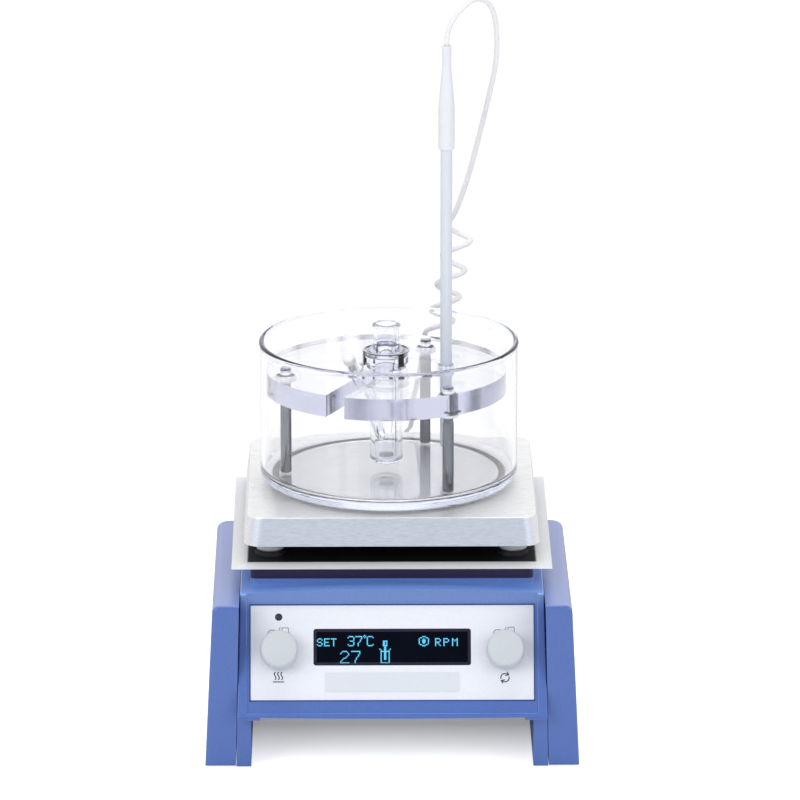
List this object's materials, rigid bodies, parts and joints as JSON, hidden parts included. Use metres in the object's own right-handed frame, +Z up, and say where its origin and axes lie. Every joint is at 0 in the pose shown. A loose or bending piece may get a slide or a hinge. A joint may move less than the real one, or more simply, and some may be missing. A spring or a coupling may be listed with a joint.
{
  "type": "hotplate stirrer with diffusion cell bath",
  "caption": "Heated magnetic stirrer with a sloping control panel, carrying a glass water bath, a clear holder on legs, a glass diffusion cell and a temperature probe on a curly lead.",
  "frame": {"origin": "on the floor, at the centre of the base's footprint", "axes": "+Z up, -Y towards the control panel, +X to the operator's right"},
  "size_m": [0.1992, 0.2228, 0.391],
  "materials": {
    "casing_blue": "fine-textured moulded shell",
    "panel_white": "smooth satin print",
    "label_grey": "smooth satin",
    "knob_white": "satin",
    "window_black": "polished smoked window",
    "lens_dark": "unlit lens",
    "board_green": "solder mask",
    "dark_plastic": "moulded",
    "rubber_dark": "matte",
    "plate_metal": "brushed",
    "stainless": "polished sheet",
    "steel": "bright",
    "magnet": "nickel plated",
    "motor_can": "satin black",
    "standoff_white": "heat resistant moulding",
    "insulation": "fibre board",
    "clear_glass": "polished borosilicate",
    "clear_acrylic": "polished cast sheet",
    "membrane": "thin film",
    "clamp_black": "blackened spring steel",
    "silicone": "translucent satin",
    "stir_white": "fluoropolymer coat",
    "probe_coat": "fluoropolymer sleeve",
    "handle_white": "satin moulding",
    "lead_white": "silicone sheath"
  },
  "bodies": {
    "root": {"main_casing": "casing_blue", "inner_legs": "casing_blue", "left_cheek": "casing_blue", "right_cheek": "casing_blue", "bottom_plate": "stainless", "feet": "rubber_dark", "casing_screws": "steel", "front_panel": "panel_white", "control_board": "board_green", "display_window": "window_black", "display_module": "board_green", "label_strip": "label_grey", "status_led": "lens_dark", "temp_encoder": "dark_plastic", "speed_encoder": "dark_plastic", "drip_tray": "stainless", "heating_plate": "plate_metal", "plate_standoffs": "standoff_white", "plate_studs": "steel", "heater_ring": "steel", "insulation_ring": "insulation", "plate_sensor": "steel", "motor_bracket": "stainless", "motor": "motor_can", "motor_screws": "steel", "power_board": "board_green", "mains_inlet": "dark_plastic", "rod_socket": "steel", "probe_socket": "dark_plastic", "probe_plug": "lead_white", "probe_cord_tail": "lead_white", "probe_cord_coil": "lead_white"},
    "temp_push": {"temp_plunger": "steel"},
    "temp_dial": {"temp_shaft": "steel", "temp_knob": "knob_white"},
    "speed_push": {"speed_plunger": "steel"},
    "speed_dial": {"speed_shaft": "steel", "speed_knob": "knob_white"},
    "drive": {"drive_shaft": "steel", "magnet_yoke": "steel", "drive_magnets": "magnet"},
    "bath": {"bath_dish": "clear_glass"},
    "holder": {"holder_disc": "clear_acrylic", "holder_legs": "steel", "holder_lock_nuts": "steel", "probe_grommet": "silicone"},
    "cell": {"receptor_chamber": "clear_glass", "cell_membrane": "membrane", "donor_chamber": "clear_glass", "cell_clamp": "clamp_black"},
    "stopper": {"arm_stopper": "silicone"},
    "stir_bar": {"stir_bar": "stir_white"},
    "probe": {"probe_rod": "probe_coat", "probe_handle": "handle_white", "probe_cord_arc": "lead_white"}
  },
  "joints": [
    {"name": "temp_push", "type": "slide", "parent": "root", "child": "temp_push", "axis": [0, 0.8854, -0.4648], "range_m": [0, 0.002], "stiffness_N_per_m": 1500, "springref_m": -0.0004},
    {"name": "temp_turn", "type": "hinge", "parent": "temp_push", "child": "temp_dial", "pos_m": [-0.06, -0.08817, 0.06205], "axis": [0, -0.8854, 0.4648], "continuous": true},
    {"name": "speed_push", "type": "slide", "parent": "root", "child": "speed_push", "axis": [0, 0.8854, -0.4648], "range_m": [0, 0.002], "stiffness_N_per_m": 1500, "springref_m": -0.0004},
    {"name": "speed_turn", "type": "hinge", "parent": "speed_push", "child": "speed_dial", "pos_m": [0.06, -0.08817, 0.06205], "axis": [0, -0.8854, 0.4648], "continuous": true},
    {"name": "drive_spin", "type": "hinge", "parent": "root", "child": "drive", "pos_m": [0, 0.0196, 0.09], "axis": [0, 0, 1], "continuous": true},
    {"name": "stir_bar_spin", "type": "hinge", "parent": "cell", "child": "stir_bar", "pos_m": [-0.0024, 0.0196, 0.14], "axis": [0, 0, 1], "continuous": true},
    {"name": "bath_lift", "type": "slide", "parent": "root", "child": "bath", "axis": [0, 0, 1], "range_m": [0, 0.01]},
    {"name": "holder_lift", "type": "slide", "parent": "bath", "child": "holder", "axis": [0, 0, 1], "range_m": [0, 0.08]},
    {"name": "cell_lift", "type": "slide", "parent": "holder", "child": "cell", "axis": [0, 0, 1], "range_m": [0, 0.075]},
    {"name": "stopper_pull", "type": "slide", "parent": "cell", "child": "stopper", "axis": [-0.2602, -0.558, 0.788], "range_m": [0, 0.015]},
    {"name": "probe_lift", "type": "slide", "parent": "root", "child": "probe", "axis": [0, 0, 1], "range_m": [0, 0.07], "deforming": ["probe_cord_coil"]}
  ],
  "couplings": [
    {"joint": "stir_bar_spin", "follows": "drive_spin", "ratio": 1}
  ]
}
